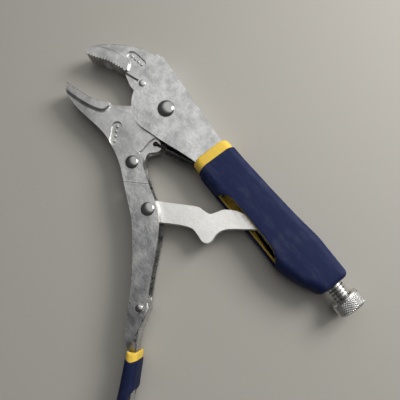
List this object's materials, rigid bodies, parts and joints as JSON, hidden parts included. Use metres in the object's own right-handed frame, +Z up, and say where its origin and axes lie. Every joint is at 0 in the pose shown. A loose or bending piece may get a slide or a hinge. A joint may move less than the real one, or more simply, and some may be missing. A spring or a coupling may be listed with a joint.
{
  "type": "locking pliers",
  "caption": "Curved-jaw locking pliers with a toggle link, an adjusting screw, a release lever and two-layer rubber grips, lying open.",
  "frame": {"origin": "centre of the bounding box in X and Y, on the surface that the pliers lie on", "axes": "+X along the fixed handle from the jaws to the adjusting knob; +Y from the movable handle to the fixed handle; +Z up, along the pivots"},
  "size_m": [0.2495, 0.1736, 0.02],
  "materials": {
    "plated_steel": "satin nickel-plated steel with fine mottling",
    "cast_steel": "bright, slightly grainy forged link",
    "rivet_steel": "polished rivet heads",
    "screw_steel": "bright machined thread and knurl",
    "yellow_rubber": "matt yellow inner grip layer",
    "blue_rubber": "matt navy outer grip layer, slightly dusty",
    "black_spring": "blackened spring wire"
  },
  "bodies": {
    "fixed_handle": {"fixed_handle_channel": "plated_steel", "upper_jaw": "plated_steel", "upper_jaw_stake": "plated_steel", "jaw_rivet": "rivet_steel", "fixed_grip_inner": "yellow_rubber", "fixed_grip_outer": "blue_rubber", "jaw_spring": "black_spring"},
    "lower_jaw": {"lower_jaw": "plated_steel"},
    "movable_handle": {"movable_handle_channel": "plated_steel", "handle_rivet": "rivet_steel", "toggle_rivet": "rivet_steel", "lever_rivet": "rivet_steel", "lever_rivet_washers": "rivet_steel", "movable_grip_inner": "yellow_rubber", "movable_grip_outer": "blue_rubber"},
    "toggle": {"toggle_link": "cast_steel"},
    "release_lever": {"release_lever": "plated_steel"},
    "screw_slide": {"screw_tip": "screw_steel"},
    "screw": {"adjusting_screw": "screw_steel", "screw_knob": "screw_steel"}
  },
  "joints": [
    {"name": "jaw_close", "type": "hinge", "parent": "fixed_handle", "child": "lower_jaw", "pos_m": [-0.0482, 0.0639, 0.01], "axis": [0, 0, -1], "range_deg": [0, 18.6], "deforming": ["jaw_spring"]},
    {"name": "handle_swing", "type": "hinge", "parent": "lower_jaw", "child": "movable_handle", "pos_m": [-0.0322, 0.0239, 0.01], "axis": [0, 0, 1], "range_deg": [0, 62.3]},
    {"name": "toggle_swing", "type": "hinge", "parent": "movable_handle", "child": "toggle", "pos_m": [0.00039, 0.01393, 0.01], "axis": [0, 0, -1], "range_deg": [0, 61.2]},
    {"name": "lever_press", "type": "hinge", "parent": "movable_handle", "child": "release_lever", "pos_m": [0.04734, -0.02594, 0.01], "axis": [0, 0, -1], "range_deg": [0, 3]},
    {"name": "screw_travel", "type": "slide", "parent": "fixed_handle", "child": "screw_slide", "axis": [1, 0, 0], "range_m": [0, 0.012]},
    {"name": "knob_turn", "type": "hinge", "parent": "screw_slide", "child": "screw", "pos_m": [0.1118, 0.0763, 0.01], "axis": [1, 0, 0], "range_deg": [0, 2161]}
  ],
  "couplings": [
    {"joint": "handle_swing", "follows": "jaw_close", "ratio": 3.3314},
    {"joint": "toggle_swing", "follows": "jaw_close", "ratio": 3.2738},
    {"joint": "knob_turn", "follows": "screw_travel", "rad_per_m": 3141.6}
  ]
}
